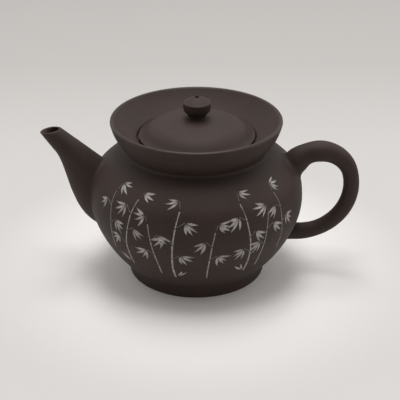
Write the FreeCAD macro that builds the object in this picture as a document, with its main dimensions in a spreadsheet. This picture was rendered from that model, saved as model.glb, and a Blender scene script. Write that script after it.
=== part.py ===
# Clay teapot with a wide flared collar, and a domed lid that lies sunk in it.
# Each piece of clay is a solid of its own, as it is made before the pieces are luted together.
# Origin at the middle of the foot, where it rests. +Z is up, the spout points to -X and the handle to +X.
import FreeCAD, Part
import itertools
import math
import os
import Sketcher

doc = FreeCAD.newDocument("ClayTeapot")
sheet = doc.addObject("Spreadsheet::Sheet", "Sizes")
rows = itertools.count(1)


class Size:
    """A number together with the formula that gives it from the sheet, so that the two agree."""

    def __init__(self, value, formula):
        self.value = value
        self.formula = formula

    def __add__(self, other):
        return Size(self.value + value_of(other), f"({self.formula} + {formula_of(other)})")

    def __sub__(self, other):
        return Size(self.value - value_of(other), f"({self.formula} - {formula_of(other)})")

    def __mul__(self, other):
        return Size(self.value * value_of(other), f"({self.formula} * {formula_of(other)})")

    def __truediv__(self, other):
        return Size(self.value / value_of(other), f"({self.formula} / {formula_of(other)})")

    def __neg__(self):
        return Size(-self.value, f"(0 - {self.formula})")


def value_of(number):
    return number.value if isinstance(number, Size) else number


def formula_of(number):
    return number.formula if isinstance(number, Size) else f"({number})"


def size(alias, value):
    """Write one driving size in the next row of the sheet, in millimetres or degrees."""
    row = next(rows)
    sheet.set(f"A{row}", alias.replace("_", " "))
    sheet.set(f"B{row}", str(value))
    sheet.setAlias(f"B{row}", alias)
    return Size(value, f"Sizes.{alias}")


def sine(angle):
    return Size(math.sin(math.radians(value_of(angle))), f"sin({formula_of(angle)} * 1 deg)")


def cosine(angle):
    return Size(math.cos(math.radians(value_of(angle))), f"cos({formula_of(angle)} * 1 deg)")


# Foot and base
foot_height = size("foot_height", 7.3)
foot_top_radius = size("foot_top_radius", 36.7)
foot_taper = size("foot_taper", 1.7)
foot_ring_width = size("foot_ring_width", 4)
foot_hollow_round = size("foot_hollow_round", 14.5)
foot_edge_round = size("foot_edge_round", 0.6)
base_thickness = size("base_thickness", 3.2)
foot_rim_width = size("foot_rim_width", 2.7)

# Belly: its widest level, and the round stretches below and above it
wall = size("wall", 3.2)
wall_foot_width = size("wall_foot_width", 4.7)
belly_radius = size("belly_radius", 54.1)
belly_rise = size("belly_rise", 34.4)
flank_round = size("flank_round", 62.8)
belly_low_round = size("belly_low_round", 29.6)
belly_high_round = size("belly_high_round", 42.9)
seam_angle = size("seam_angle", 12.1)
shoulder_round = size("shoulder_round", 14)
crown_round = size("crown_round", 42.9)

# Throat and collar
throat_radius = size("throat_radius", 29.9)
throat_rise = size("throat_rise", 25.9)
throat_lip = size("throat_lip", 3.4)
land_width = size("land_width", 4.9)
collar_flare = size("collar_flare", 8.3)
collar_height = size("collar_height", 15.75)
collar_round = size("collar_round", 28)
collar_bowl_round = size("collar_bowl_round", 40)
rim_round = size("rim_round", 0.9)
neck_cove_round = size("neck_cove_round", 4.5)
neck_cove_reach = size("neck_cove_reach", 7.25)
neck_cove_rise = size("neck_cove_rise", 1.55)
neck_skirt_width = size("neck_skirt_width", 5)
neck_skirt_depth = size("neck_skirt_depth", 4)

# Seat and lid
seat_rise = size("seat_rise", 4.7)
seat_thickness = size("seat_thickness", 3.2)
seat_width = size("seat_width", 3.1)
recess_depth = size("recess_depth", 1.3)
lid_clearance = size("lid_clearance", 0.6)
brim_thickness = size("brim_thickness", 2.4)
brim_width = size("brim_width", 2)
brim_edge_round = size("brim_edge_round", 1.1)
dome_rise = size("dome_rise", 8.8)
dome_edge_round = size("dome_edge_round", 14)
dome_foot_angle = size("dome_foot_angle", 32)
dome_thickness = size("dome_thickness", 3.5)
steam_hole_radius = size("steam_hole_radius", 1.2)
flange_clearance = size("flange_clearance", 0.6)
flange_thickness = size("flange_thickness", 2.4)
flange_length = size("flange_length", 8.6)

# Knob
knob_stem_radius = size("knob_stem_radius", 4.4)
knob_stem_height = size("knob_stem_height", 3.6)
knob_neck_radius = size("knob_neck_radius", 6.9)
knob_cap_radius = size("knob_cap_radius", 7.1)
knob_cap_height = size("knob_cap_height", 4)
knob_edge_round = size("knob_edge_round", 0.8)
knob_crown_rise = size("knob_crown_rise", 2.5)
knob_crown_round = size("knob_crown_round", 22)
knob_root_depth = size("knob_root_depth", 1.5)

# Levels and radii that several pieces share
foot_bottom_radius = foot_top_radius - foot_taper
base_level = foot_height - base_thickness
base_radius = foot_top_radius - foot_rim_width
belly_level = foot_height + belly_rise
neck_level = belly_level + throat_rise
neck_radius = throat_radius + land_width
seat_level = neck_level + seat_rise
seat_inner_radius = throat_radius - seat_width
lid_radius = throat_radius - lid_clearance
brim_level = seat_level + brim_thickness
dome_level = brim_level + dome_rise
flange_radius = seat_inner_radius - flange_clearance


# How a sketch numbers the points of an edge
FIRST, LAST, CENTRE = 1, 2, 3


class Outline:
    """A closed outline in the XZ plane, drawn edge by edge and turned about Z into one piece.

    A coordinate given as a Size is held at that size. One given as a bare number is only where the
    drawing starts, and the smooth joints settle it.
    """

    def __init__(self, label, start):
        self.body = doc.addObject("PartDesign::Body", label)
        self.body.Label = label
        self.sketch = self.body.newObject("Sketcher::SketchObject", label + "_outline")
        plane = [f for f in self.body.Origin.OriginFeatures if f.Role == "XZ_Plane"][0]
        self.sketch.AttachmentSupport = (plane, [""])
        self.sketch.MapMode = "FlatFace"
        self.here = start
        self.ends = []

    def tie(self, kind, *what):
        """Add a constraint whose last value comes from the sheet."""
        number = self.sketch.addConstraint(Sketcher.Constraint(kind, *what[:-1], what[-1].value))
        self.sketch.setExpression(f"Constraints[{number}]", what[-1].formula)

    def hold(self, edge, position, corner):
        """Hold one point of an edge at the coordinates that are given as sizes."""
        for kind, axis, coordinate in (("DistanceX", -2, corner[0]), ("DistanceY", -1, corner[1])):
            if isinstance(coordinate, Size):
                self.tie(kind, edge, position, coordinate)
            elif coordinate == 0:
                self.sketch.addConstraint(Sketcher.Constraint("PointOnObject", edge, position, axis))

    def join(self, before, after, smooth):
        kind = "Tangent" if smooth else "Coincident"
        self.sketch.addConstraint(Sketcher.Constraint(kind, before[0], before[2], after[0], after[1]))

    def add(self, geometry, first, last, end, smooth):
        edge = self.sketch.addGeometry(geometry, False)
        self.ends.append((edge, first, last))
        if len(self.ends) > 1:
            self.join(self.ends[-2], self.ends[-1], smooth)
        self.hold(edge, last, end)
        self.here = end
        return edge

    def line(self, *corners):
        """Straight edges through corners."""
        for corner in corners:
            self.add(Part.LineSegment(vector(self.here), vector(corner)), FIRST, LAST, corner, False)

    def arc(self, end, centre, radius, anticlockwise=True, smooth=False):
        """A round edge about a centre. A smooth one runs on in the direction of the edge before."""
        middle = vector(centre)
        spokes = [vector(corner) - middle for corner in (self.here, end)]
        angles = [math.atan2(spoke.y, spoke.x) for spoke in spokes]
        circle = Part.Circle(middle, FreeCAD.Vector(0, 0, 1), spokes[0].Length)
        first, last = (FIRST, LAST) if anticlockwise else (LAST, FIRST)
        if not anticlockwise:
            angles.reverse()
        edge = self.add(Part.ArcOfCircle(circle, *angles), first, last, end, smooth)
        self.hold(edge, CENTRE, centre)
        if radius:
            self.tie("Radius", edge, radius)

    def turn(self):
        """Close the outline and turn it once about the axis of the pot."""
        self.join(self.ends[-1], self.ends[0], False)
        turned = self.body.newObject("PartDesign::Revolution", self.body.Label + "_turned")
        turned.Profile = self.sketch
        turned.ReferenceAxis = (self.sketch, ["V_Axis"])
        turned.Angle = 360
        return self.body


def vector(corner):
    return FreeCAD.Vector(value_of(corner[0]), value_of(corner[1]), 0)


def meeting(centre_a, radius_a, centre_b, radius_b, side):
    """Where two circles meet: side 1 is the point on the left of the way from a to b, side -1 the other."""
    way = vector(centre_b) - vector(centre_a)
    along = (radius_a ** 2 - radius_b ** 2 + way.Length ** 2) / (2 * way.Length)
    aside = side * math.sqrt(radius_a ** 2 - along ** 2)
    way.normalize()
    found = vector(centre_a) + way * along + FreeCAD.Vector(-way.y, way.x, 0) * aside
    return (found.x, found.y)


def beyond(start, towards, distance):
    """The point at a distance from start, on the line towards another point."""
    way = vector(towards) - vector(start)
    found = vector(start) + way.normalize() * distance
    return (found.x, found.y)


def shell_seam(inset):
    """Where the seam between belly wall and shoulder crosses the face that lies inset from the outside."""
    radius = belly_high_round - inset
    across = belly_radius - belly_high_round + radius * cosine(seam_angle)
    return (across, belly_level + radius * sine(seam_angle))


def belly_arcs(inset, foot_corner):
    """The three round stretches of the belly wall, from its foot corner up to the seam."""
    flank, low, high = flank_round - inset, belly_low_round - inset, belly_high_round - inset
    low_centre = (value_of(belly_radius - belly_low_round), belly_level)
    reach = flank.value - low.value
    flank_centre = meeting(low_centre, reach, foot_corner, flank.value, -1)
    widest = (belly_radius - inset, belly_level)
    high_centre = (value_of(belly_radius - belly_high_round), value_of(belly_level))
    seam = (value_of(shell_seam(inset)[0]), shell_seam(inset)[1])
    corners = [foot_corner, beyond(flank_centre, low_centre, flank.value), widest, seam]
    return corners, [flank_centre, low_centre, high_centre], [flank, low, high]


def shoulder_arcs(inset, neck_corner):
    """The two round stretches of the shoulder, from the seam up to its neck corner."""
    edge, crown = shoulder_round - inset, crown_round - inset
    reach = belly_high_round - shoulder_round
    edge_across = belly_radius - belly_high_round + reach * cosine(seam_angle)
    edge_centre = (edge_across.value, belly_level + reach * sine(seam_angle))
    crown_centre = meeting(edge_centre, crown.value - edge.value, neck_corner, crown.value, 1)
    corners = [shell_seam(inset), beyond(crown_centre, edge_centre, crown.value), neck_corner]
    return corners, [edge_centre, crown_centre], [edge, crown]


def draw_up(outline, arcs, smooth_start=False):
    """Draw a row of arcs from its lowest corner, each running on smoothly from the one before."""
    corners, centres, radii = arcs
    for number, (end, centre, radius) in enumerate(zip(corners[1:], centres, radii)):
        outline.arc(end, centre, radius, smooth=number > 0 or smooth_start)


def draw_down(outline, arcs):
    """Draw the same row from its highest corner."""
    corners, centres, radii = arcs
    for number, (end, centre, radius) in enumerate(zip(corners[-2::-1], centres[::-1], radii[::-1])):
        outline.arc(end, centre, radius, anticlockwise=False, smooth=number > 0)


foot_corner = (foot_top_radius, foot_height)
neck_corner = (neck_radius, neck_level)
outer_belly = belly_arcs(0, foot_corner)
outer_shoulder = shoulder_arcs(0, neck_corner)


def make_belly_form():
    """The whole belly, filled: the roots of the spout and the handle are cut to its surface."""
    form = Outline("belly_form", foot_corner)
    draw_up(form, outer_belly)
    corners, centres, radii = outer_shoulder
    free_centre = (centres[0][0], value_of(centres[0][1]))
    draw_up(form, (corners, [free_centre, centres[1]], radii), smooth_start=True)
    form.line((0, neck_level), (0, foot_height), foot_corner)
    return form.turn()


def make_foot_ring():
    """The ring that the pot stands on, hollowed a little outside, with a ledge for the base disc."""
    inner = foot_bottom_radius - foot_ring_width
    low = foot_edge_round
    ring = Outline("foot_ring", (foot_bottom_radius - low, 0))
    edge_centre = (value_of(foot_bottom_radius - low), value_of(low))
    ring.arc((foot_bottom_radius, low), edge_centre, foot_edge_round)
    bottom, top = vector((foot_bottom_radius, low)), vector(foot_corner)
    hollow = meeting(bottom, foot_hollow_round.value, top, foot_hollow_round.value, -1)
    ring.arc(foot_corner, hollow, foot_hollow_round, anticlockwise=False)
    ring.line((base_radius, foot_height), (base_radius, base_level), (inner, base_level), (inner, low))
    ring.arc((inner + low, 0), (value_of(inner + low), value_of(low)), foot_edge_round)
    ring.line((foot_bottom_radius - low, 0))
    return ring.turn()


def make_base_disc():
    """The flat slab that closes the pot, let into the foot ring."""
    disc = Outline("base_disc", (0, base_level))
    disc.line((base_radius, base_level), (base_radius, foot_height), (0, foot_height), (0, base_level))
    return disc.turn()


def make_belly_wall_blank():
    """The belly from the foot to the seam, standing on the foot ring and the base disc."""
    inner = belly_arcs(wall, (foot_top_radius - wall_foot_width, foot_height))
    blank = Outline("belly_wall_blank", foot_corner)
    draw_up(blank, outer_belly)
    blank.line(inner[0][-1])
    draw_down(blank, inner)
    blank.line(foot_corner)
    return blank.turn()


def make_shoulder_disc():
    """The domed top of the belly, pierced by the throat, with a flat land that carries the collar."""
    throat_corner = (throat_radius, neck_level - throat_lip)
    inner = shoulder_arcs(wall, throat_corner)
    disc = Outline("shoulder_disc", outer_shoulder[0][0])
    draw_up(disc, outer_shoulder)
    disc.line((throat_radius, neck_level), throat_corner)
    draw_down(disc, inner)
    disc.line(outer_shoulder[0][0])
    return disc.turn()


def make_collar_blank():
    """The flared bowl-like collar: cove, outside, rim and inside run on smoothly, down to a straight bore.

    It reaches a little way into the shoulder, and is cut to the shoulder's surface afterwards.
    """
    rim = (neck_radius + collar_flare - rim_round, neck_level + collar_height - rim_round)
    floor = (throat_radius, seat_level + recess_depth)
    cove_centre = (neck_radius + neck_cove_reach, neck_level + neck_cove_rise)
    skirt_radius = neck_radius + neck_skirt_width
    bottom = neck_level - neck_skirt_depth
    outer, inner, round_edge = collar_round.value, collar_bowl_round.value, rim_round.value
    cove = neck_cove_round.value
    outer_centre = meeting(rim, outer - round_edge, cove_centre, outer + cove, -1)
    inner_centre = meeting(rim, inner + round_edge, floor, inner, -1)
    cove_joint = beyond(outer_centre, cove_centre, outer)
    outer_joint = beyond(outer_centre, rim, outer)
    inner_joint = beyond(inner_centre, rim, inner)
    aside = value_of(cove_centre[0] - skirt_radius)
    cove_foot = (skirt_radius, value_of(cove_centre[1]) - math.sqrt(cove ** 2 - aside ** 2))

    collar = Outline("collar_blank", (skirt_radius, bottom))
    collar.line(cove_foot)
    collar.arc(cove_joint, cove_centre, neck_cove_round, anticlockwise=False)
    collar.arc(outer_joint, outer_centre, collar_round, smooth=True)
    collar.arc(inner_joint, rim, rim_round, smooth=True)
    collar.arc(floor, inner_centre, collar_bowl_round, anticlockwise=False, smooth=True)
    collar.line((throat_radius, bottom), (skirt_radius, bottom))
    return collar.turn()


def make_lid_seat():
    """The ring inside the collar's bore that the lid rests on."""
    bottom = seat_level - seat_thickness
    seat = Outline("lid_seat", (seat_inner_radius, bottom))
    seat.line((throat_radius, bottom), (throat_radius, seat_level), (seat_inner_radius, seat_level))
    seat.line((seat_inner_radius, bottom))
    return seat.turn()


def make_lid_disc():
    """The lid's flat brim and hollow dome in one slab, with the steam hole through its top."""
    edge, edge_inside = dome_edge_round, dome_edge_round - dome_thickness
    dome_foot = (lid_radius - brim_width, brim_level)
    edge_across = dome_foot[0] - edge * cosine(dome_foot_angle)
    edge_level = brim_level - edge * sine(dome_foot_angle)
    drop = dome_level - edge_level
    crown = (edge_across * edge_across + drop * drop - edge * edge) / ((drop - edge) * 2)
    crown_inside = crown - dome_thickness
    crown_centre = (0, dome_level - crown)
    edge_centre = (edge_across.value, edge_level.value)
    hole = steam_hole_radius.value
    joint = beyond(crown_centre, edge_centre, crown.value)
    top = (steam_hole_radius, crown_centre[1].value + math.sqrt(crown.value ** 2 - hole ** 2))
    under = (steam_hole_radius, crown_centre[1].value + math.sqrt(crown_inside.value ** 2 - hole ** 2))
    inner_joint = beyond(crown_centre, edge_centre, crown_inside.value)
    reach = math.sqrt(edge_inside.value ** 2 - value_of(seat_level - edge_level) ** 2)
    brim_round = (lid_radius - brim_edge_round, brim_level - brim_edge_round)

    disc = Outline("lid_disc", (lid_radius, seat_level))
    disc.line((lid_radius, brim_round[1]))
    disc.arc((brim_round[0], brim_level), (brim_round[0].value, brim_round[1].value), brim_edge_round)
    disc.line(dome_foot)
    disc.arc(joint, edge_centre, edge)
    disc.arc(top, crown_centre, crown, smooth=True)
    disc.line(under)
    disc.arc(inner_joint, crown_centre, crown_inside, anticlockwise=False)
    inner_end = (edge_centre[0] + reach, seat_level)
    disc.arc(inner_end, (edge_across, edge_centre[1]), edge_inside, anticlockwise=False, smooth=True)
    disc.line((lid_radius, seat_level))
    return disc.turn()


def make_lid_flange():
    """The ring under the lid that keeps it centred in the seat, rounded along its lower edge."""
    inner = flange_radius - flange_thickness
    middle = flange_radius - flange_thickness / 2
    bend_level = seat_level - flange_length + flange_thickness / 2
    flange = Outline("lid_flange", (flange_radius, seat_level))
    flange.line((inner, seat_level), (inner, bend_level))
    flange.arc((flange_radius, bend_level), (middle.value, bend_level), None)
    flange.line((flange_radius, seat_level))
    return flange.turn()


def make_knob_blank():
    """The knob: a short stem that swells into a cap, domed on top, with the steam hole down its middle."""
    root_level = dome_level - knob_root_depth
    neck_height = dome_level + knob_stem_height
    edge_height = neck_height + knob_cap_height
    across = knob_neck_radius - knob_stem_radius
    swell = (across * across + knob_stem_height * knob_stem_height) / (across * 2)
    shoulder = (knob_cap_radius - knob_edge_round, edge_height + knob_edge_round)
    top = (steam_hole_radius, shoulder[1] + knob_crown_rise)
    crown_centre = meeting(shoulder, knob_crown_round.value, top, knob_crown_round.value, 1)
    swell_centre = (value_of(knob_stem_radius + swell), dome_level)

    knob = Outline("knob_blank", (steam_hole_radius, root_level))
    knob.line((knob_stem_radius, root_level), (knob_stem_radius, dome_level))
    knob.arc((knob_neck_radius, neck_height), swell_centre, None, anticlockwise=False)
    knob.line((knob_cap_radius, edge_height))
    knob.arc(shoulder, (shoulder[0].value, edge_height.value), knob_edge_round)
    knob.arc(top, crown_centre, knob_crown_round)
    knob.line((steam_hole_radius, root_level))
    return knob.turn()


def bound(kind, label, **sizes):
    """A primitive or a boolean whose properties are tied to the sheet."""
    thing = doc.addObject(kind, label)
    thing.Label = label
    for name, value in sizes.items():
        thing.setExpression(name, formula_of(value))
    return thing


def put(thing, turn, across, up, aside=0):
    """Turn an object about the Y direction and put it in its place, both tied to the sheet."""
    base = f"vector({formula_of(across)}; {formula_of(aside)}; {formula_of(up)})"
    rotation = f"rotation(vector(0; 1; 0); {formula_of(turn)})"
    thing.setExpression("Placement", f"placement({base}; {rotation})")


def loft(label, sections):
    solid = doc.addObject("Part::Loft", label)
    solid.Label = label
    solid.Sections = sections
    solid.Solid = True
    return solid


def cut(label, blank, tool):
    piece = doc.addObject("Part::Cut", label)
    piece.Label = label
    piece.Base = blank
    piece.Tool = tool
    return piece


# Strainer: seven holes through the belly wall behind the spout, one in the middle and six round it
strainer_rise = size("strainer_rise", 3.5)
strainer_pitch = size("strainer_pitch", 4.6)
strainer_hole_radius = size("strainer_hole_radius", 1.5)
strainer_reach = size("strainer_reach", 12)


def make_belly_wall():
    """The belly wall, pierced behind the spout so that leaves stay in the pot."""
    level = belly_level + strainer_rise
    places = [(0, level)]
    for turn in range(0, 360, 60):
        places.append((strainer_pitch * cosine(turn), level + strainer_pitch * sine(turn)))
    holes = []
    for number, (aside, up) in enumerate(places):
        hole = bound(
            "Part::Cylinder", f"strainer_hole_{number}", Radius=strainer_hole_radius, Height=strainer_reach
        )
        put(hole, 90, -belly_radius - strainer_hole_radius, up, aside)
        holes.append(hole)
    drills = doc.addObject("Part::MultiFuse", "strainer_holes")
    drills.Shapes = holes
    return cut("belly_wall", make_belly_wall_blank(), drills)


# Spout: sections from inside the belly to the mouth. Reach is how far out from the widest belly the
# middle of a section lies, rise how far above the widest level, and its angle is from the horizontal.
spout_wall = size("spout_wall", 2.4)
spout_lip = size("spout_lip", 1.1)
spout_mouth_extra = size("spout_mouth_extra", 1)
spout_stations = []
for station, reach, rise, half_height, half_width, angle in (
    ("root", -20, -15.5, 11.2, 8.5, 46),
    ("base", -8.4, -4.2, 13.2, 9.5, 44),
    ("swell", -3.9, 2.7, 13.6, 10, 43),
    ("bend", 0, 9.8, 12.1, 9.6, 36.6),
    ("waist", 3.7, 16.1, 9.7, 8.4, 29),
    ("neck", 9.8, 24.8, 6.6, 6.2, 31),
    ("tip", 14.4, 29.9, 5.6, 5.2, 28),
    ("mouth", 18.95, 35.05, 5.3, 4.4, 10),
):
    spout_stations.append(
        (
            -belly_radius - size(f"spout_{station}_reach", reach),
            belly_level + size(f"spout_{station}_rise", rise),
            size(f"spout_{station}_half_height", half_height),
            size(f"spout_{station}_half_width", half_width),
            size(f"spout_{station}_angle", angle),
        )
    )


def spout_section(label, station, inset):
    across, up, half_height, half_width, angle = station
    section = bound(
        "Part::Ellipse", label, MajorRadius=half_height - inset, MinorRadius=half_width - inset
    )
    put(section, -angle, across, up)
    return section


def make_spout(belly_form):
    """The curved spout, hollow and thinner at its mouth, its root cut to the belly's surface."""
    walls = [spout_wall] * (len(spout_stations) - 2) + [(spout_wall + spout_lip) / 2, spout_lip]
    outside = []
    inside = []
    for number, (station, inset) in enumerate(zip(spout_stations, walls)):
        outside.append(spout_section(f"spout_section_{number}", station, 0))
        inside.append(spout_section(f"spout_bore_{number}", station, inset))
    across, up, half_height, half_width, angle = spout_stations[-1]
    across = across - spout_mouth_extra * sine(angle)
    up = up + spout_mouth_extra * cosine(angle)
    clear = (across, up, half_height, half_width, angle)
    inside.append(spout_section("spout_bore_end", clear, spout_lip))
    tube = cut("spout_tube", loft("spout_outside", outside), loft("spout_inside", inside))
    return cut("spout", tube, belly_form)


# Handle: a round coil bent through three arcs, clockwise from its upper root down to its lower one
handle_root_inset = size("handle_root_inset", 3.4)
handle_root_rise = size("handle_root_rise", 18.2)
handle_root_angle = size("handle_root_angle", 47.7)
handle_upper_bend = size("handle_upper_bend", 16.1)
handle_upper_angle = size("handle_upper_angle", 122.1)
handle_middle_bend = size("handle_middle_bend", 26.6)
handle_middle_angle = size("handle_middle_angle", 45.6)
handle_lower_bend = size("handle_lower_bend", 26.6)
handle_lower_angle = size("handle_lower_angle", 59.8)
handle_upper_tail = size("handle_upper_tail", 9)
handle_lower_tail = size("handle_lower_tail", 12)
handle_root_radius = size("handle_root_radius", 6.4)
handle_top_radius = size("handle_top_radius", 5.4)
handle_side_radius = size("handle_side_radius", 4.1)
handle_low_radius = size("handle_low_radius", 4.05)
handle_end_radius = size("handle_end_radius", 4.35)


def make_handle(belly_form):
    """The ear-shaped handle, thick at its upper root, both roots cut to the belly's surface."""
    slope = handle_root_angle
    across = belly_radius - handle_root_inset
    up = belly_level + handle_root_rise
    start = (across - handle_upper_tail * cosine(slope), up - handle_upper_tail * sine(slope), slope)
    route = [start, (across, up, slope)]
    for bend, turn, steps in (
        (handle_upper_bend, handle_upper_angle, 5),
        (handle_middle_bend, handle_middle_angle, 2),
        (handle_lower_bend, handle_lower_angle, 3),
    ):
        for step in range(1, steps + 1):
            there = slope - turn * step / steps
            x = across + bend * (sine(slope) - sine(there))
            z = up + bend * (cosine(there) - cosine(slope))
            route.append((x, z, there))
        across, up, slope = route[-1]
    route.append((across + handle_lower_tail * cosine(slope), up + handle_lower_tail * sine(slope), slope))
    taper = [handle_top_radius + (handle_side_radius - handle_top_radius) * k / 3 for k in (1, 2)]
    radii = [handle_root_radius, handle_root_radius, handle_top_radius, handle_top_radius]
    radii += taper + [handle_side_radius] * 3
    radii += [handle_low_radius, handle_low_radius, handle_end_radius, handle_end_radius]
    sections = []
    for number, ((x, z, heading), radius) in enumerate(zip(route, radii, strict=True)):
        section = bound("Part::Circle", f"handle_section_{number}", Radius=radius)
        put(section, -heading + 90, x, z)
        sections.append(section)
    return cut("handle", loft("handle_coil", sections), belly_form)


belly_form = make_belly_form()
lid_disc = make_lid_disc()
pieces = [
    make_foot_ring(),
    make_base_disc(),
    make_belly_wall(),
    make_shoulder_disc(),
    cut("collar", make_collar_blank(), belly_form),
    make_lid_seat(),
    make_spout(belly_form),
    make_handle(belly_form),
    lid_disc,
    make_lid_flange(),
    cut("knob", make_knob_blank(), lid_disc),
]
doc.recompute()

for thing in doc.Objects:
    if "Invalid" in thing.State or "Error" in thing.State:
        raise RuntimeError(f"{thing.Label} failed: {thing.State}")
    if thing.TypeId == "Sketcher::SketchObject" and not thing.FullyConstrained:
        raise RuntimeError(f"{thing.Label} isn't fully constrained")

os.makedirs("parts", exist_ok=True)
for piece in pieces:
    shape = piece.Shape
    if shape.isNull() or not shape.isValid() or len(shape.Solids) != 1:
        raise RuntimeError(f"{piece.Label} isn't one valid solid")
    print(f"{piece.Label}: {shape.Volume / 1000:.2f} cm3")

for piece in pieces:
    piece.Shape.exportStep(f"parts/{piece.Label}.step")
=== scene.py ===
# An unglazed stoneware teapot: a round belly on a low foot, a wide flared collar with a domed lid
# sunk in it, a curved spout and an ear-shaped handle. It is put together here in the potter's order.
import math
import random

import bpy
from mathutils import Matrix, Vector


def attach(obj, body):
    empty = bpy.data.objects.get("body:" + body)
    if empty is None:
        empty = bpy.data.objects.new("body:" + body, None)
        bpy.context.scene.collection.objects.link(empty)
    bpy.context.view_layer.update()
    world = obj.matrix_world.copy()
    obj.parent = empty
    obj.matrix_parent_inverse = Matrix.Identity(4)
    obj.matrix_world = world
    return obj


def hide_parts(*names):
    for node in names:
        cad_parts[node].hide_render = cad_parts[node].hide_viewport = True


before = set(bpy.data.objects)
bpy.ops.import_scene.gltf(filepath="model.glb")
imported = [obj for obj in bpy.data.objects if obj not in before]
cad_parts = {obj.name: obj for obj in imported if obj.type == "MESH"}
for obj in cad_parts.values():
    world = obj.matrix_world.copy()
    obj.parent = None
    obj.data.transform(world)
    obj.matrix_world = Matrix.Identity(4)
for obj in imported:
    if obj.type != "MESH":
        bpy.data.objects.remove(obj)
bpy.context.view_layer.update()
mm = 0.001


# The foot ring. A low ring of clay, hollowed a little outside, that the pot stands on. It was turned
# on the wheel, and its two lower edges are rounded where a wet sponge ran over them. Sizes are radii
# and heights in millimetres, here and below.
foot_inside, foot_outside, foot_edge = 31.6, 34.4, 0.6
base_radius, base_level, base_top = 34, 4.1, 7.3
foot_top = (36.7, base_top)


def node(tree, kind, inputs=None, **settings):
    """Add a node to a tree, and give its sockets a value or a link."""
    made = tree.nodes.new(kind)
    for name, value in settings.items():
        setattr(made, name, value)
    for socket, value in (inputs or {}).items():
        if isinstance(value, bpy.types.NodeSocket):
            tree.links.new(value, made.inputs[socket])
        else:
            made.inputs[socket].default_value = value
    return made


def reckon(tree, operation, *values):
    """One sum on numbers that may be sockets."""
    return node(tree, "ShaderNodeMath", dict(enumerate(values)), operation=operation).outputs[0]


def reckon_vector(tree, operation, inputs, result=0):
    """One sum on vectors that may be sockets."""
    return node(tree, "ShaderNodeVectorMath", inputs, operation=operation).outputs[result]


def ramp(tree, factor, stops):
    """A colour ramp through (place, colour) stops."""
    made = node(tree, "ShaderNodeValToRGB", {0: factor})
    band = made.color_ramp.elements
    while len(band) < len(stops):
        band.new(0.5)
    for element, (place, colour) in zip(band, stops):
        element.position = place
        element.color = (*colour, 1)
    return made.outputs[0]


def mixed(tree, share, first, second, blend_type="MIX"):
    """One colour with a share of a second one laid over it."""
    inputs = {0: share, 6: first, 7: second}
    return node(tree, "ShaderNodeMix", inputs, data_type="RGBA", blend_type=blend_type).outputs[2]


def started(name):
    """A new material, its tree, its shader, and the socket that tells the place on the piece."""
    material = bpy.data.materials.new(name)
    material.use_nodes = True
    tree = material.node_tree
    where = node(tree, "ShaderNodeTexCoord").outputs["Object"]
    return material, tree, tree.nodes["Principled BSDF"], where


dark_brown = (0.0324, 0.0192, 0.0153)
light_brown = (0.0444, 0.0265, 0.0212)
sand_brown = (0.11, 0.085, 0.068, 1)


def clay(name, on_wheel, rubbed=0.0):
    """Dark brown stoneware, fired bare: mottled and sandy, lined by the wheel, and shinier if rubbed."""
    material, tree, shader, where = started(name)
    noise = "ShaderNodeTexNoise"
    cloud = node(tree, noise, {"Vector": where, "Scale": 55, "Detail": 4, "Roughness": 0.6})
    sand = node(tree, noise, {"Vector": where, "Scale": 1500, "Detail": 2, "Roughness": 0.6})
    speck = node(tree, "ShaderNodeTexVoronoi", {"Vector": where, "Scale": 620, "Randomness": 1})
    brown = ramp(tree, cloud.outputs[0], ((0.3, dark_brown), (0.7, light_brown)))
    shade = ramp(tree, sand.outputs[0], ((0.35, (0.45, 0.45, 0.45)), (0.7, (1.5, 1.46, 1.4))))
    grainy = mixed(tree, 0.35, brown, shade, "MULTIPLY")
    chosen = reckon(tree, "GREATER_THAN", speck.outputs["Color"], 0.93)
    near = reckon(tree, "LESS_THAN", speck.outputs["Distance"], 0.22)
    spot = reckon(tree, "MULTIPLY", reckon(tree, "MULTIPLY", chosen, near), 0.5)
    tree.links.new(mixed(tree, spot, grainy, sand_brown), shader.inputs["Base Color"])
    shader.inputs["Specular IOR Level"].default_value = 0.31
    dull = reckon(tree, "MULTIPLY_ADD", cloud.outputs[0], 0.16, 0.52 - rubbed)
    tree.links.new(reckon(tree, "MULTIPLY_ADD", sand.outputs[0], 0.1, dull), shader.inputs["Roughness"])
    height = reckon(tree, "MULTIPLY", sand.outputs[0], 0.5)
    if on_wheel:
        stretch = node(tree, "ShaderNodeMapping", {"Vector": where, "Scale": (14, 14, 1100)})
        lines = node(tree, noise, {"Vector": stretch.outputs[0], "Scale": 1, "Detail": 3})
        height = reckon(tree, "MULTIPLY_ADD", lines.outputs[0], 0.35, height)
    bump = node(tree, "ShaderNodeBump", {"Strength": 0.5, "Distance": 0.00006, "Height": height})
    tree.links.new(bump.outputs[0], shader.inputs["Normal"])
    return material


turned_clay = clay("turned_clay", True)
steps_round = 360
# How far the potter's hands leave the skin uneven
unevenness = 0.16 * mm
# Nearer to the axis than this the unevenness fades out, so that the skin closes there
calm_middle = 8 * mm
# Edges that turn by more than this stay crisp
crisp_angle = math.radians(38)


def new_tree(name, inputs, result):
    """An empty tree for shapes, with its named inputs and the one shape that it gives back."""
    tree = bpy.data.node_groups.new(name, "GeometryNodeTree")
    for label, kind in inputs.items():
        tree.interface.new_socket(label, in_out="INPUT", socket_type="NodeSocket" + kind)
    tree.interface.new_socket(result, in_out="OUTPUT", socket_type="NodeSocketGeometry")
    return tree


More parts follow.
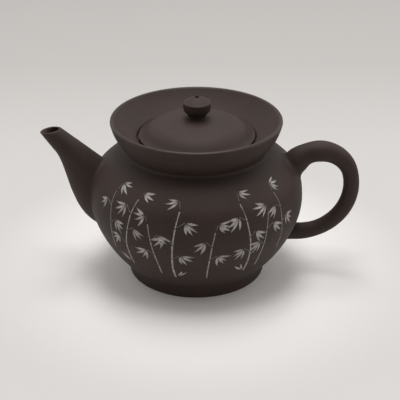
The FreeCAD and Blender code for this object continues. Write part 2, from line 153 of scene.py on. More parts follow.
def wheel():
    """A tree that turns an outline, given as points in the XZ plane, about Z into a closed skin."""
    inputs = {"Outline": "Geometry", "Steps round": "Int", "Unevenness": "Float", "Clay": "Material"}
    tree = new_tree("turned_on_the_wheel", inputs, "Skin")
    given = node(tree, "NodeGroupInput").outputs
    count = node(tree, "GeometryNodeAttributeDomainSize", {0: given["Outline"]}).outputs["Point Count"]
    columns = reckon(tree, "ADD", given["Steps round"], 1)
    grid = node(tree, "GeometryNodeMeshGrid", {"Vertices X": columns, "Vertices Y": count}).outputs[0]
    index = node(tree, "GeometryNodeInputIndex").outputs[0]
    row = reckon(tree, "MODULO", index, count)
    column = reckon(tree, "FLOOR", reckon(tree, "DIVIDE", reckon(tree, "ADD", index, 0.5), count))
    place = node(tree, "GeometryNodeInputPosition").outputs[0]
    drawn = node(
        tree,
        "GeometryNodeSampleIndex",
        {"Geometry": given["Outline"], "Value": place, "Index": row},
        data_type="FLOAT_VECTOR",
    )
    turn = reckon(tree, "DIVIDE", reckon(tree, "MULTIPLY", column, math.tau), given["Steps round"])
    ring = node(
        tree,
        "ShaderNodeVectorRotate",
        {"Vector": drawn.outputs[0], "Angle": turn},
        rotation_type="Z_AXIS",
    ).outputs[0]
    wobble = node(tree, "ShaderNodeTexNoise", {"Vector": ring, "Scale": 24, "Detail": 1}).outputs[0]
    inward = reckon_vector(tree, "MULTIPLY", {0: ring, 1: (-1, -1, 0)})
    way = reckon_vector(tree, "NORMALIZE", {0: inward})
    far = reckon_vector(tree, "LENGTH", {0: inward}, "Value")
    share = reckon(tree, "MINIMUM", reckon(tree, "DIVIDE", far, calm_middle), 1)
    depth = reckon(tree, "MULTIPLY", reckon(tree, "MULTIPLY", wobble, given["Unevenness"]), share)
    shift = reckon_vector(tree, "SCALE", {0: way, "Scale": depth})
    moved = {"Geometry": grid, "Position": ring, "Offset": shift}
    skin = node(tree, "GeometryNodeSetPosition", moved).outputs[0]
    joined = {"Geometry": skin, "Distance": 0.002 * mm}
    skin = node(tree, "GeometryNodeMergeByDistance", joined).outputs[0]
    skin = node(tree, "GeometryNodeSetShadeSmooth", {"Geometry": skin}).outputs[0]
    skin = node(tree, "GeometryNodeRealizeInstances", {"Geometry": skin}).outputs[0]
    skin = node(tree, "GeometryNodeSetMaterial", {"Geometry": skin, "Material": given["Clay"]}).outputs[0]
    node(tree, "NodeGroupOutput", {0: skin})
    return tree


wheel_tree = wheel()


def net(name, points, faces=(), edges=()):
    """A new mesh from points, and faces or edges between them."""
    mesh = bpy.data.meshes.new(name)
    mesh.from_pydata(points, edges, faces)
    return mesh


def placed(name, data):
    """A new object in the scene, at the origin."""
    made = bpy.data.objects.new(name, data)
    bpy.context.scene.collection.objects.link(made)
    return made


def bake(name, mesh, tree, inputs):
    """Run a tree on a mesh and keep what it makes as a plain mesh object at the origin."""
    worked = placed(name + "_worked", mesh)
    modifier = worked.modifiers.new("shape", "NODES")
    modifier.node_group = tree
    for socket in tree.interface.items_tree:
        if socket.in_out == "INPUT" and socket.name in inputs:
            modifier[socket.identifier] = inputs[socket.name]
    evaluated = worked.evaluated_get(bpy.context.evaluated_depsgraph_get())
    made = bpy.data.meshes.new_from_object(evaluated)
    bpy.data.objects.remove(worked)
    # The mesh that the tree began with leaves an empty slot
    while made.materials[0] is None:
        made.materials.pop(index=0)
    made.set_sharp_from_angle(angle=crisp_angle)
    made.name = name
    return placed(name, made)


def arc(centre, radius, start, end, spacing=1.2):
    """Points on an arc, in millimetres and degrees."""
    count = max(5, math.ceil(abs(math.radians(end - start)) * radius / spacing))
    angles = [math.radians(start + (end - start) * step / count) for step in range(count + 1)]
    return [(centre[0] + radius * math.cos(a), centre[1] + radius * math.sin(a)) for a in angles]


def straight(*corners, spacing=1.5):
    """Points on straight runs through corners, with one close to each corner so that it stays crisp."""
    close = 0.15
    points = []
    for (x, z), (there_x, there_z) in zip(corners, corners[1:]):
        length = math.hypot(there_x - x, there_z - z)
        count = max(1, math.ceil(length / spacing))
        stops = [step / count for step in range(count + 1)]
        if length > 4 * close:
            stops[1:1] = [close / length]
            stops[-1:-1] = [1 - close / length]
        points += [(x + (there_x - x) * s, z + (there_z - z) * s) for s in sorted(set(stops))]
    return points


# Points nearer to each other than this, in millimetres, are one
touching = 0.004


def outline(*runs):
    """Runs of points joined into one line, without the doubles where they meet."""
    line = []
    for point in (point for run in runs for point in run):
        if not line or math.dist(line[-1], point) > touching:
            line.append(point)
    return line


def turned(name, line, material, closed=True, steps=steps_round):
    """Turn an outline in millimetres, drawn anticlockwise, into a piece."""
    points = line + line[:1] if closed and math.dist(line[0], line[-1]) > touching else line
    drawn = net(name + "_outline", [(x * mm, 0, z * mm) for x, z in points])
    inputs = {"Steps round": steps, "Unevenness": unevenness, "Clay": material}
    return bake(name, drawn, wheel_tree, inputs)


def settle(piece, body, part):
    """Let a piece stand for a part of the frame and move with its body."""
    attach(piece, body)
    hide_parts(part)


foot_line = outline(
    arc((foot_outside, foot_edge), foot_edge, -90, 0),
    arc((49.4996, 0.4867), 14.5, 179.552, 151.973),
    straight(foot_top, (base_radius, base_top), (base_radius, base_level), (31, base_level)),
    straight((31, base_level), (31, foot_edge)),
    arc((foot_inside, foot_edge), foot_edge, 180, 270),
    straight((foot_inside, 0), (foot_outside, 0)),
)
settle(turned("foot_ring_turned", foot_line, turned_clay), "pot", "foot_ring")


# The base disc. The flat slab, rolled out and cut round, that closes the pot inside the foot ring.
# It is let into a ledge in the ring, so that its edge doesn't show.
base_edge = (base_radius, base_level), (base_radius, base_top)
base_line = outline(straight((0, base_level), *base_edge, (0, base_top), spacing=3))
settle(turned("base_disc_cut", base_line, turned_clay, closed=False), "pot", "base_disc")


# The belly wall. Thrown on the wheel from the foot up to the seam, and pierced by seven small holes
# behind the spout, which keep the leaves back when tea is poured.
wall = 3.2
strainer_level, strainer_pitch, strainer_radius = 45.2, 4.6, 1.5
drill_start, drill_length = -55.6, 12
# Each round stretch of the belly's outside, foot to neck: centre, radius, and first and last angle
belly_rounds = (
    ((-6.8923, 52.5056), 62.8, -46.041, -18.994),
    ((24.5, 41.7), 29.6, -18.994, 0),
    ((11.2, 41.7), 42.9, 0, 12.1),
    ((39.4579, 47.758), 14, 12.1, 43.255),
    ((18.4096, 27.9545), 42.9, 43.255, 67.539),
)
belly_outside = outline(*(arc(*stretch, 1) for stretch in belly_rounds[:3]))
belly_inside = outline(
    arc((11.2, 41.7), 42.9 - wall, 12.1, 0, 2),
    arc((24.5, 41.7), 29.6 - wall, 0, -18.879, 2),
    arc((-6.9139, 52.4428), 62.8 - wall, -18.879, -49.238, 2),
)
belly_line = outline(belly_outside, belly_inside, straight(belly_inside[-1], foot_top))


def drill(name, places, radius, length):
    """Round cutters that lie along X."""
    points, faces, sides = [], [], 28
    for x, y, z in places:
        first = len(points)
        for end in (x, x + length):
            for k in range(sides):
                a = math.tau * k / sides
                aside, up = y + radius * math.cos(a), z + radius * math.sin(a)
                points.append((end * mm, aside * mm, up * mm))
        faces.append(tuple(first + k for k in range(sides - 1, -1, -1)))
        faces.append(tuple(first + sides + k for k in range(sides)))
        for k in range(sides):
            after = (k + 1) % sides
            faces.append((first + k, first + after, first + sides + after, first + sides + k))
    mesh = net(name, points, faces)
    mesh.materials.append(turned_clay)
    return placed(name, mesh)


holes = [(drill_start, 0, strainer_level)]
for degrees in range(0, 360, 60):
    away = math.radians(degrees)
    aside, up = strainer_pitch * math.cos(away), strainer_pitch * math.sin(away)
    holes.append((drill_start, aside, strainer_level + up))
strainer_drill = drill("strainer_drill", holes, strainer_radius, drill_length)


def cut_out(piece, tools):
    """Cut the tools out of a piece, and keep the result as its own plain mesh."""
    for tool in tools:
        knife = piece.modifiers.new("knife", "BOOLEAN")
        knife.operation = "DIFFERENCE"
        knife.solver = "MANIFOLD"
        knife.object = tool
        knife.material_mode = "TRANSFER"
    evaluated = piece.evaluated_get(bpy.context.evaluated_depsgraph_get())
    cut = bpy.data.meshes.new_from_object(evaluated)
    piece.modifiers.clear()
    piece.data = cut
    cut.set_sharp_from_angle(angle=crisp_angle)


belly = turned("belly_wall_thrown", belly_line, turned_clay)
cut_out(belly, [strainer_drill])
bpy.data.objects.remove(strainer_drill)


# The shoulder disc. The domed top of the belly, pressed over a mould and luted to the wall. The seam
# is scraped flush, so that it can't be seen. Its flat land round the throat carries the collar.
throat, land_edge, land_level = 29.9, 34.8, 67.6
shoulder_line = outline(
    *(arc(*stretch, 1) for stretch in belly_rounds[3:]),
    straight((land_edge, land_level), (throat, land_level), (throat, 64.2)),
    arc((21.0164, 25.5067), 42.9 - wall, 77.07, 50.349, 2),
    arc((39.4579, 47.758), 14 - wall, 50.349, 12.1, 2),
)
shoulder_line = outline(shoulder_line, straight(shoulder_line[-1], shoulder_line[0]))
shoulder = turned("shoulder_disc_pressed", shoulder_line, turned_clay)


# The bamboo. Cut with a knife, across belly and shoulder, once they were joined and leather hard: short
# strokes down to the paler clay under the skin. Eight stems stand in a loose row round the front, and
# their leaves hang.
cut_clay, cut_tree, cut_shader, cut_where = started("cut_clay")
cut_grain = node(cut_tree, "ShaderNodeTexNoise", {"Vector": cut_where, "Scale": 900, "Detail": 3})
cut_grey = ramp(cut_tree, cut_grain.outputs[0], ((0.3, (0.36, 0.335, 0.31)), (0.7, (0.56, 0.53, 0.5))))
cut_tree.links.new(cut_grey, cut_shader.inputs["Base Color"])
cut_shader.inputs["Roughness"].default_value = 0.85
cut_shader.inputs["Specular IOR Level"].default_value = 0.25
cut_relief = {"Strength": 0.6, "Distance": 0.00008, "Height": cut_grain.outputs[0]}
cut_bump = node(cut_tree, "ShaderNodeBump", cut_relief)
cut_tree.links.new(cut_bump.outputs[0], cut_shader.inputs["Normal"])

# How deep a cut goes, how far its cutter stands out, and how much of its width is left at the bottom
cut_depth, cut_above, cut_bottom = 0.4, 0.25, 0.45


def blade(name, half_widths, bow):
    """A closed cutter one unit long, with its width given along it, wide above and narrow below."""
    count = len(half_widths) - 1
    spine = [(k / count, bow * math.sin(math.pi * k / count)) for k in range(count + 1)]
    rims = []
    for level, spread in ((cut_above, 1.0), (-cut_depth, cut_bottom)):
        there = [(x, y - w * spread, level) for (x, y), w in zip(spine, half_widths)]
        back = [(x, y + w * spread, level) for (x, y), w in zip(spine, half_widths)]
        rims.append(there + back[::-1])
    size = len(rims[0])
    faces = [tuple(range(size)), tuple(range(2 * size - 1, size - 1, -1))]
    for k in range(size):
        after = (k + 1) % size
        faces.append((k, size + k, size + after, after))
    return placed(name, net(name, rims[0] + rims[1], faces))


leaf_shape = [0.03, 0.36, 0.72, 0.94, 1.0, 0.93, 0.76, 0.54, 0.3, 0.03]
leaf_bow = 0.35
culm_shape = [1.0, 0.82, 0.76, 0.76, 0.82, 1.0]
blades = {
    "leaf_up": blade("leaf_up", leaf_shape, leaf_bow),
    "leaf_down": blade("leaf_down", leaf_shape, -leaf_bow),
    "culm": blade("culm", culm_shape, 0),
}


def carver():
    """A tree that lays a cutter at each point of a flat drawing, and wraps that round the belly."""
    tree = new_tree(
        "drawn_round_the_belly",
        {
            "Drawing": "Geometry",
            "Blade": "Object",
            "Outline": "Object",
            "Widest radius": "Float",
            "Widest place": "Float",
            "Clay": "Material",
        },
        "Cutters",
    )
    given = node(tree, "NodeGroupInput").outputs
    attribute = "GeometryNodeInputNamedAttribute"
    lean = node(tree, attribute, {"Name": "lean"}, data_type="FLOAT").outputs[0]
    size = node(tree, attribute, {"Name": "size"}, data_type="FLOAT_VECTOR").outputs[0]
    shape = node(tree, "GeometryNodeObjectInfo", {"Object": given["Blade"]}).outputs["Geometry"]
    laid = node(
        tree,
        "GeometryNodeInstanceOnPoints",
        {
            "Points": given["Drawing"],
            "Instance": shape,
            "Rotation": node(tree, "ShaderNodeCombineXYZ", {2: lean}).outputs[0],
            "Scale": size,
        },
    ).outputs[0]
    laid = node(tree, "GeometryNodeRealizeInstances", {"Geometry": laid}).outputs[0]
    place = node(tree, "GeometryNodeInputPosition").outputs[0]
    flat = node(tree, "ShaderNodeSeparateXYZ", {0: place}).outputs
    drawn = node(tree, "GeometryNodeObjectInfo", {"Object": given["Outline"]}).outputs["Geometry"]
    curve = node(tree, "GeometryNodeMeshToCurve", {0: drawn}).outputs[0]
    along = node(
        tree,
        "GeometryNodeSampleCurve",
        {"Curves": curve, "Length": reckon(tree, "ADD", flat[1], given["Widest place"])},
        mode="LENGTH",
    ).outputs
    run = node(tree, "ShaderNodeSeparateXYZ", {0: along["Tangent"]}).outputs
    inward = reckon(tree, "MULTIPLY", run[0], -1)
    out = node(tree, "ShaderNodeCombineXYZ", {0: run[2], 2: inward}).outputs[0]
    lift = reckon_vector(tree, "SCALE", {0: out, "Scale": flat[2]})
    risen = reckon_vector(tree, "ADD", {0: along["Position"], 1: lift})
    round_pot = reckon(tree, "DIVIDE", flat[0], given["Widest radius"])
    turn = reckon(tree, "SUBTRACT", round_pot, math.pi / 2)
    wrapped = node(
        tree, "ShaderNodeVectorRotate", {"Vector": risen, "Angle": turn}, rotation_type="Z_AXIS"
    ).outputs[0]
    laid = node(tree, "GeometryNodeSetPosition", {"Geometry": laid, "Position": wrapped}).outputs[0]
    laid = node(tree, "GeometryNodeSetMaterial", {"Geometry": laid, "Material": given["Clay"]}).outputs[0]
    node(tree, "NodeGroupOutput", {0: laid})
    return tree


strokes = {"leaf_up": [], "leaf_down": [], "culm": []}
hand = random.Random(11)
# Degrees between the leaves of a spray, their stalk, and their least and most length and half width
leaf_spread, leaf_stalk = 25, 0.7
leaf_lengths, leaf_half_widths = (6, 8.6), (0.7, 0.95)
# Length of the lowest joint, what each next one gains in length and loses in width, and their gap
joint_length, joint_longer, joint_thinner, joint_gap = 6.9, 0.4, 0.1, 0.5
# Least and most length of a twig, its half width, and how far it starts from the stem
twig_lengths, twig_half_width, twig_gap = (2.6, 4.8), 0.22, 0.9


def stroke(kind, x, y, lean, length, width):
    """Draw one stroke from a point, leaning by an angle in degrees from level, sizes in millimetres."""
    strokes[kind].append((x, y, lean, length, width))


def off(x, y, lean, length):
    """The place that is so far from a point, at an angle in degrees from level."""
    return x + length * math.cos(math.radians(lean)), y + length * math.sin(math.radians(lean))


def spray(x, y, facing, count):
    """A few leaves that hang from the end of a twig, spread like the fingers of a hand."""
    for k in range(count):
        from_middle = k - (count - 1) / 2
        lean = facing + from_middle * leaf_spread + hand.uniform(-5, 5)
        length = hand.uniform(*leaf_lengths) * (1 - 0.12 * abs(from_middle))
        kind = "leaf_up" if math.cos(math.radians(lean)) < 0 else "leaf_down"
        stroke(kind, *off(x, y, lean, leaf_stalk), lean, length, hand.uniform(*leaf_half_widths))


# Where each bamboo stands: mm round from the front and mm up from the widest level, then its lean and
# its turn at each joint in degrees, how many joints, half width, and the side of its first leaves
for x, y, lean, turn, joints, width, side in (
    (-48, -14, 92, 3, 4, 0.5, -1),
    (-38, -22, 83, -3, 5, 0.75, 1),
    (-20, -24, 99, 3, 4, 0.6, 1),
    (-12, -26, 85, -4, 5, 0.85, -1),
    (6, -26, 82, -4, 4, 0.6, -1),
    (28, -24, 95, 4, 5, 0.8, 1),
    (35, -22, 82, -3, 4, 0.6, 1),
    (48, -14, 94, 3, 4, 0.5, -1),
):
    # The tall ones have two leaves at their foot as well
    if joints == 5:
        spray(x - side, y + 1, 90 + 40 * side, 2)
    for joint in range(joints):
        tilt = lean + (joint - 2) * turn + hand.uniform(-2, 2)
        length = joint_length + joint * joint_longer + hand.uniform(-0.5, 0.5)
        stroke("culm", x, y, tilt, length, width * (1 - joint_thinner * joint))
        x, y = off(x, y, tilt, length + joint_gap)
        if joint == 0:
            continue
        side = -side
        top = joint == joints - 1
        twig_lean = lean - (15 if top else 52) * side
        reach = hand.uniform(*twig_lengths)
        twig = off(x, y, twig_lean, twig_gap)
        stroke("culm", *twig, twig_lean, reach, twig_half_width)
        spray(*off(*twig, twig_lean, reach + 0.2), -90 + (70 if top else 44) * side, 3 + joint % 2)

belly_side = outline(*(arc(*stretch, 1) for stretch in belly_rounds))
belly_edge = placed(
    "belly_outside",
    net(
        "belly_outside",
        [(x * mm, 0, z * mm) for x, z in belly_side],
        edges=[(k, k + 1) for k in range(len(belly_side) - 1)],
    ),
)
belly_radius = 54.1
# Length along the belly's side from the foot up to where it is widest
widest_place = sum(math.radians(last - first) * radius for _, radius, first, last in belly_rounds[:2])
carving_tree = carver()
cutters = []
for kind, drawn in strokes.items():
    flat = net(kind + "_drawing", [(x * mm, y * mm, 0) for x, y, lean, length, width in drawn])
    leans = flat.attributes.new("lean", "FLOAT", "POINT")
    sizes = flat.attributes.new("size", "FLOAT_VECTOR", "POINT")
    for k, (x, y, lean, length, width) in enumerate(drawn):
        leans.data[k].value = math.radians(lean)
        sizes.data[k].vector = (length * mm, width * mm, mm)
    inputs = {
        "Blade": blades[kind],
        "Outline": belly_edge,
        "Widest radius": belly_radius * mm,
        "Widest place": widest_place * mm,
        "Clay": cut_clay,
    }
    cutters.append(bake(kind + "_cutters", flat, carving_tree, inputs))
for shape in (*blades.values(), belly_edge):
    bpy.data.objects.remove(shape)

for piece, part in ((belly, "belly_wall"), (shoulder, "shoulder_disc")):
    cut_out(piece, cutters)
    settle(piece, "pot", part)
for cutter in cutters:
    bpy.data.objects.remove(cutter)


# The collar. A flared bowl without a floor, thrown in one pull and luted to the shoulder, where its foot
# is smoothed into a small cove. Its rim is thick and round, and rubbed a little shiny by hands.
cove_centre, cove_round = (37.231, 68.057), 1.42
rim_centre, rim_round = (41.92, 82.15), 1.2
crown_centre, crown_round = belly_rounds[4][:2]
throat_top = (throat, 73.96)


def sweep(start, corner, end, count=6):
    """Points between two ends, on a smooth curve that heads for a corner."""
    points = []
    for step in range(1, count):
        t = step / count
        weights = ((1 - t) ** 2, 2 * t * (1 - t), t * t)
        points.append(tuple(sum(w * p[k] for w, p in zip(weights, (start, corner, end))) for k in (0, 1)))
    return points


def softened(line, corner, radius):
    """The same closed outline with one corner rubbed round."""
    at = min(range(len(line)), key=lambda k: math.dist(line[k], corner))
    before, after = at, at
    while math.dist(line[before], corner) < radius:
        before -= 1
    while math.dist(line[after % len(line)], corner) < radius:
        after += 1
    return line[: before + 1] + sweep(line[before], corner, line[after % len(line)]) + line[after:]


# Cove, outside, rim, inside, throat, and the foot on the land and on the shoulder
collar_line = outline(
    arc(cove_centre, cove_round, -115.1, -223.1, 0.2),
    arc((15.7164, 88.1971), 28.07, -43.1, -13, 1),
    arc(rim_centre, rim_round, -13, 139.3, 0.25),
    arc((10.9343, 108.8179), 39.68, -40.7, -61.45, 1),
    straight(throat_top, (throat, land_level), (land_edge, land_level)),
    arc(crown_centre, crown_round, 67.539, 64.9, 1),
)
collar_line = softened(collar_line, throat_top, 0.2)
collar = turned("collar_thrown", collar_line, turned_clay)
collar.data.materials.append(clay("rubbed_clay", True, 0.2))
# The part of the rim that hands rub: above this height, and outside this radius
rubbed_above, rubbed_beyond = 81.9 * mm, 40.9 * mm
for face in collar.data.polygons:
    if face.center.z > rubbed_above and face.center.xy.length > rubbed_beyond:
        face.material_index = 1
settle(collar, "pot", "collar")


# The lid seat. A plain ring of clay, stuck inside the throat, that the lid lies on. Its upper edge is
# rubbed round, because the lid's flange slides past it.
seat_inside, seat_foot, seat_top = 26.8, 69.1, 72.3
seat_start, seat_rubbed = (seat_inside, seat_foot), (seat_inside, seat_top)
seat_side = (throat, seat_foot), (throat, seat_top)
seat_line = outline(straight(seat_start, *seat_side, seat_rubbed, seat_start))
seat_line = softened(seat_line, seat_rubbed, 0.5)
settle(turned("lid_seat_ring", seat_line, turned_clay), "pot", "lid_seat")


# The lid. A flat brim and a hollow dome turned in one slab, with a thin flange under it, a button knob on
# a short stem, and a steam hole down through the knob. It lies loose in its seat, a little to the back
# and to the right.
lid_place = Matrix.Translation((0.3 * mm, 0.28 * mm, 0))


def lid_piece(name, line, part, steps=steps_round):
    """Turn a piece of the lid and put it where the lid lies."""
    made = turned(name, line, turned_clay, steps=steps)
    made.data.transform(lid_place)
    settle(made, "lid", part)


lid_wall, steam_hole = 3.5, 1.2
brim_edge, brim_top, brim_rubbed = 29.3, 74.7, 0.4
brim_side, brim_flat = (brim_edge, brim_top - brim_rubbed), (brim_edge - brim_rubbed, brim_top)
hip_centre, hip_round = (15.4273, 67.2811), 14
dome_centre, dome_round = (0, 14.7591), 68.7409
# Under the brim, its rubbed edge, the fillet up to the dome, hip and dome, the steam hole, and the hollow
lid_line = outline(
    straight((24.6502, seat_top), (brim_edge, seat_top), brim_side),
    sweep(brim_side, (brim_edge, brim_top), brim_flat, 5),
    sweep(brim_flat, (27.55, 74.86), (25.33, 77.18), 12),
    arc(hip_centre, hip_round, 45, 73.631, 0.6),
    arc(dome_centre, dome_round, 73.631, 89, 1),
    straight((steam_hole, 83.4895), (steam_hole, 79.989)),
    arc(dome_centre, dome_round - lid_wall, 88.946, 73.631, 1.5),
    arc(hip_centre, hip_round - lid_wall, 73.631, 28.554, 1.2),
)
lid_piece("lid_disc_turned", lid_line, "lid_disc")

flange_inside, flange_outside, flange_foot = 23.8, 26.2, 64.9
flange_line = outline(
    straight(
        (flange_outside, flange_foot),
        (flange_outside, seat_top),
        (flange_inside, seat_top),
        (flange_inside, flange_foot),
    ),
    arc((25, flange_foot), 1.2, 180, 360, 0.4),
)
lid_piece("lid_flange_ring", flange_line, "lid_flange")

knob_foot, knob_waist, knob_top = (steam_hole, 83.4), (6.9, 87.1), (steam_hole, 94.4)
# Foot, stem, side of the cap, its rubbed edge, its top, and down the steam hole
knob_line = outline(
    straight(knob_foot, (4.4, 83.2), (4.4, 83.5)),
    arc((8.242, 83.5), 3.842, 180, 110.444, 0.4),
    straight(knob_waist, (7.1, 91.1), spacing=0.6),
    arc((6.3, 91.1), 0.8, 0, 66, 0.12),
    arc((-5.8524, 73.561), 22, 57.4, 71.303, 0.4),
    straight(knob_top, knob_foot, spacing=0.8),
)
knob_line = softened(knob_line, knob_waist, 1.2)
knob_line = softened(knob_line, knob_top, 0.12)
lid_piece("knob_button", knob_line, "knob", 160)


# The spout. Rolled thin round a tapered stick, bent while damp, and luted over the strainer holes. The
# joint is smoothed with a wet tool into a narrow fillet, and the mouth is cut level and rubbed round.
hand_clay = clay("hand_clay", False)
spout_around = 96
spout_fillet, spout_lip = 1.7, 1.1
# Each section, root to mouth: distance out, height, half height, half width, angle from level, wall
spout_sections = (
    (-34.1, 26.2, 11.2, 8.5, 46, 2.4),
    (-45.7, 37.5, 13.2, 9.5, 44, 2.4),
    (-50.2, 44.4, 13.6, 10, 43, 2.4),
    (-54.1, 51.5, 12.1, 9.6, 36.6, 2.4),
    (-57.8, 57.8, 9.7, 8.4, 29, 2.4),
    (-63.9, 66.5, 6.6, 6.2, 31, 2.4),
    (-68.5, 71.6, 5.6, 5.2, 28, 1.75),
    (-73.05, 76.75, 5.3, 4.4, 10, spout_lip),
)
spout_lengths = [0]
for before, after in zip(spout_sections, spout_sections[1:]):
    spout_lengths.append(spout_lengths[-1] + math.dist(before[:2], after[:2]))


def eased(places, rows, place):
    """Values read at a place between rows of numbers, on one smooth curve through all the rows."""
    k = max(0, min(len(places) - 2, sum(p <= place for p in places) - 1))
    span = places[k + 1] - places[k]
    t = (place - places[k]) / span

    def slope(at):
        low, high = max(0, at - 1), min(len(places) - 1, at + 1)
        return [(b - a) / (places[high] - places[low]) * span for a, b in zip(rows[low], rows[high])]

    weights = (2 * t**3 - 3 * t**2 + 1, 3 * t**2 - 2 * t**3, t**3 - 2 * t**2 + t, t**3 - t**2)
    four = (rows[k], rows[k + 1], slope(k), slope(k + 1))
    return [sum(w * row[c] for w, row in zip(weights, four)) for c in range(len(rows[0]))]


def spout_skin(inner):
    """A function that gives a point on the outside or the bore, by length along and angle round."""

    def point(length, angle, inset=0, lift=0):
        x, z, half_height, half_width, lean, thick = eased(spout_lengths, spout_sections, length)
        inset += thick if inner else 0
        along, aside = (half_height - inset) * math.cos(angle), (half_width - inset) * math.sin(angle)
        c, s = math.cos(math.radians(lean)), math.sin(math.radians(lean))
        return Vector((x + along * c - lift * s, aside, z + along * s + lift * c))

    return point


def over_belly(point):
    """How far a point stands off the belly, in millimetres, which is less than nothing inside it."""
    across = math.hypot(point[0], point[1])
    for centre, radius, low, high in belly_rounds:
        x, z = across - centre[0], point[2] - centre[1]
        if low <= math.degrees(math.atan2(z, x)) <= high:
            return math.hypot(x, z) - radius
    # Any other direction leads well inside
    return -20


def off_belly(point):
    """The direction straight out of the belly at a point."""
    steps = [Vector(step) * 0.01 for step in ((1, 0, 0), (0, 1, 0), (0, 0, 1))]
    rises = [over_belly(point + step) - over_belly(point - step) for step in steps]
    return Vector(rises).normalized()


def root(skin, inside, outside, around, fillet):
    """Rings that lead a tube's skin down on to the belly in a fillet, and where its lines start."""
    fillet_steps = 5
    sunk = 0.1
    joints, starts = [], []
    for k in range(around):
        angle = math.tau * k / around
        low, high = inside, outside
        # Halve the stretch until it ends where the line comes out of the belly
        for halving in range(30):
            middle = (low + high) / 2
            if over_belly(skin(middle, angle)) < 0:
                low = middle
            else:
                high = middle
        joints.append(skin(high, angle))
        starts.append(high + math.copysign(fillet, outside - inside))
    centre = sum(joints, Vector()) / around
    rings = [[] for number in range(fillet_steps + 2)]
    for k, joint in enumerate(joints):
        out = off_belly(joint)
        way = (joints[(k + 1) % around] - joints[k - 1]).cross(out).normalized()
        if way.dot(joint - centre) < 0:
            way.negate()
        start = skin(starts[k], math.tau * k / around)
        end = joint + way * fillet
        end -= off_belly(end) * (over_belly(end) + sunk)
        for number in range(fillet_steps + 1):
            t = number / fillet_steps
            rings[number].append(start * (1 - t) ** 2 + joint * 2 * t * (1 - t) + end * t * t)
        # The last ring tucks the fillet's edge in under the belly's skin
        rings[-1].append(end + way * 0.25 - out * 0.35)
    return rings, starts


def skinned(name, rings, material, capped):
    """One closed skin through rings of points, joined end to end or capped."""
    around = len(rings[0])
    points = [point * mm for ring in rings for point in ring]
    faces = []
    for r in range(len(rings) - 1 if capped else len(rings)):
        here, there = r * around, (r + 1) % len(rings) * around
        for k in range(around):
            after = (k + 1) % around
            faces.append((here + k, here + after, there + after, there + k))
    if capped:
        faces.append(tuple(range(around - 1, -1, -1)))
        faces.append(tuple(range(len(points) - around, len(points))))
    mesh = net(name, points, faces)
    mesh.shade_smooth()
    mesh.set_sharp_from_angle(angle=math.radians(50))
    mesh.materials.append(material)
    return placed(name, mesh)


outside, bore = spout_skin(False), spout_skin(True)
spout_end, lip_round = spout_lengths[-1], spout_lip / 2
angles = [math.tau * k / spout_around for k in range(spout_around)]
root_rings, starts = root(outside, 0, spout_lengths[4], spout_around, spout_fillet)
_, bore_starts = root(bore, 0, spout_lengths[4], spout_around, 0)
rings = root_rings[::-1]
rings_outside, rings_lip, rings_bore = 60, 8, 40
for step in range(1, rings_outside + 1):
    share = step / rings_outside
    rings.append([outside(s + (spout_end - lip_round - s) * share, a) for s, a in zip(starts, angles)])
for step in range(1, rings_lip):
    over = math.pi * step / rings_lip
    inset, lift = lip_round * (1 - math.cos(over)), lip_round * (math.sin(over) - 1)
    rings.append([outside(spout_end, a, inset, lift) for a in angles])
# The bore starts this far under the lip, and runs on as far into the belly's wall
bore_shift = 0.6
for step in range(rings_bore + 1):
    share = step / rings_bore
    lengths = [spout_end - bore_shift + (s - spout_end) * share for s in bore_starts]
    rings.append([bore(length, a) for length, a in zip(lengths, angles)])
settle(skinned("spout_rolled", rings, hand_clay, False), "pot", "spout")


# The handle. A coil of clay rolled thick at one end, bent into an ear and stuck on by both ends, each
# smoothed into the belly. It is round in section and a little thinner on its way down.
handle_around, handle_rings = 64, 150
upper_fillet, lower_fillet = 2.6, 1.4
# Distance out, height, and angle from level where the coil leaves the pot
handle_root = (50.7, 59.9, 47.7)
# Bend radius and angle of each round stretch, from the upper root down to the lower one
handle_bends = ((16.1, 122.1), (26.6, 45.6), (26.6, 59.8))
# How far the coil's line runs on into the wall at its upper and lower end
handle_tails = (9, 12)
handle_lengths = [0]
for radius, angle in handle_bends:
    handle_lengths.append(handle_lengths[-1] + math.radians(angle) * radius)
upper, middle, lower = handle_bends
upper_step = math.radians(upper[1]) * upper[0] / 5
lower_step = math.radians(lower[1]) * lower[0] / 3
# Places along the coil, and its radius at each
thick_places = [
    -handle_tails[0],
    *(upper_step * k for k in range(5)),
    handle_lengths[1],
    (handle_lengths[1] + handle_lengths[2]) / 2,
    *(handle_lengths[2] + lower_step * k for k in range(3)),
    handle_lengths[3],
    handle_lengths[3] + handle_tails[1],
]
thick_rows = [(r,) for r in (6.4, 6.4, 5.4, 5.4, 4.967, 4.533, 4.1, 4.1, 4.1, 4.05, 4.05, 4.35, 4.35)]


def handle_line(length):
    """Where the middle of the coil is at a length from its upper root, and the way it heads."""
    x, z, heading = handle_root[0], handle_root[1], math.radians(handle_root[2])
    if length < 0:
        return x + length * math.cos(heading), z + length * math.sin(heading), heading
    for radius, angle in handle_bends:
        whole = math.radians(angle) * radius
        run = min(length, whole)
        there = heading - run / radius
        x += radius * (math.sin(heading) - math.sin(there))
        z += radius * (math.cos(there) - math.cos(heading))
        heading = there
        length -= run
        if length <= 0:
            break
    return x + length * math.cos(heading), z + length * math.sin(heading), heading


def handle_skin(length, angle):
    """A point on the coil's skin, by length along and angle round."""
    x, z, heading = handle_line(length)
    radius = eased(thick_places, thick_rows, length)[0]
    across, aside = -radius * math.cos(angle), radius * math.sin(angle)
    return Vector((x - across * math.sin(heading), aside, z + across * math.cos(heading)))


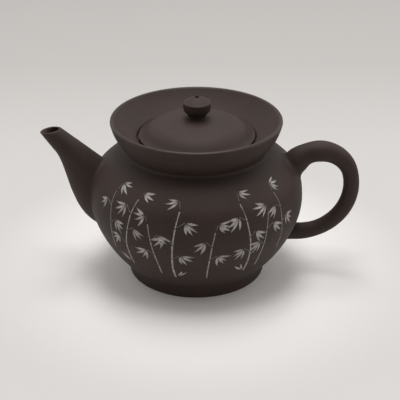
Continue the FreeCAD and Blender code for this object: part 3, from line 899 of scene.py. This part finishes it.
handle_end = handle_lengths[-1] + handle_tails[1]
upper_rings, upper_starts = root(handle_skin, -handle_tails[0], 12, handle_around, upper_fillet)
lower_rings, lower_starts = root(handle_skin, handle_end, handle_lengths[2], handle_around, lower_fillet)
rings = upper_rings[::-1]
for step in range(1, handle_rings):
    share = step / handle_rings
    rings.append(
        [
            handle_skin(a + (b - a) * share, math.tau * k / handle_around)
            for k, (a, b) in enumerate(zip(upper_starts, lower_starts))
        ]
    )
rings += lower_rings
settle(skinned("handle_coil", rings, hand_clay, True), "pot", "handle")


# The studio. A plain pale sheet that the pot stands on, with painted shade that makes it greyer at the
# back and painted light that makes it paler close to the pot, with two soft lights overhead and broader
# ones at the back and the sides, as in a small light tent. The camera looks down from the front.
sheet_corners = [(-3, -0.3, 0), (3, -0.3, 0), (3, 4, 0), (-3, 4, 0)]
floor = placed("floor", net("floor", sheet_corners, [(0, 1, 2, 3)]))
paper, paper_tree, paper_shader, paper_where = started("pale_paper")
paper_deep = node(paper_tree, "ShaderNodeSeparateXYZ", {0: paper_where}).outputs[1]
# Painted shade: the sheet's colour darkens towards the back, standing in for the light that falls off
# there
paper_painted_falloff_shade = ramp(
    paper_tree,
    reckon(paper_tree, "MULTIPLY_ADD", paper_deep, 2, 0.1),
    (
        (0.0, (0.635, 0.613, 0.597)),
        (0.2, (0.595, 0.575, 0.558)),
        (0.4, (0.56, 0.537, 0.521)),
        (0.7, (0.475, 0.453, 0.437)),
        (1.0, (0.465, 0.443, 0.427)),
    ),
)
paper_far = reckon_vector(paper_tree, "LENGTH", {0: paper_where}, "Value")
# Painted light: the sheet is painted paler close to the pot, to lighten the shadow that falls round it:
# most within 40 mm of its middle, and no more beyond 130 mm
painted_light_range = {0: paper_far, "From Min": 0.04, "From Max": 0.13, "To Min": 0.9, "To Max": 0.0}
smooth = "SMOOTHSTEP"
painted_light_share = node(paper_tree, "ShaderNodeMapRange", painted_light_range, interpolation_type=smooth).outputs[0]
painted_light_white = (0.9, 0.872, 0.85, 1)
paper_painted_light_and_shade = mixed(paper_tree, painted_light_share, paper_painted_falloff_shade, painted_light_white)
paper_tree.links.new(paper_painted_light_and_shade, paper_shader.inputs["Base Color"])
paper_shader.inputs["Roughness"].default_value = 0.9
paper_shader.inputs["Specular IOR Level"].default_value = 0.1
floor.data.materials.append(paper)

world = bpy.data.worlds.new("light_tent")
bpy.context.scene.world = world
world.use_nodes = True
tent = world.node_tree.nodes["Background"]
tent.inputs["Color"].default_value = (1, 0.985, 0.975, 1)
tent.inputs["Strength"].default_value = 0.29


def lamp(name, place, target, width, watts):
    """A square soft light that faces a point."""
    light = bpy.data.lights.new(name, "AREA")
    light.shape = "SQUARE"
    light.size = width
    light.energy = watts
    made = placed(name, light)
    made.location = place
    made.rotation_euler = (Vector(target) - Vector(place)).to_track_quat("-Z", "Y").to_euler()


pot_middle = (0, 0, 0.04)
# Name, place and width in metres, and watts
for name, place, width, watts in (
    ("overhead_light", (0, -0.06, 1.0), 0.35, 3.05),
    ("overhead_back_light", (0, 0.3, 1.0), 0.35, 3.05),
    ("back_light", (0, 0.7, 0.8), 0.8, 1.0),
    ("left_light", (-0.8, 0, 0.7), 1.1, 2.5),
    ("right_light", (0.8, 0, 0.7), 1.1, 3.1),
    ("left_back_light", (-0.7, 0.7, 0.5), 0.7, 1.25),
    ("right_back_light", (0.7, 0.7, 0.5), 0.7, 1.5),
):
    lamp(name, place, pot_middle, width, watts)

# The camera stands where the one fitted to the photograph does, and looks down by 26.9 degrees
eye = bpy.data.cameras.new("camera")
eye.lens = 107.84
eye.clip_start = 0.01
camera = placed("camera", eye)
camera.location = (0.0018, -0.550, 0.316)
camera.rotation_euler = (math.radians(63.1445), 0, 0)
bpy.context.scene.camera = camera
bpy.context.scene.view_settings.view_transform = "Standard"
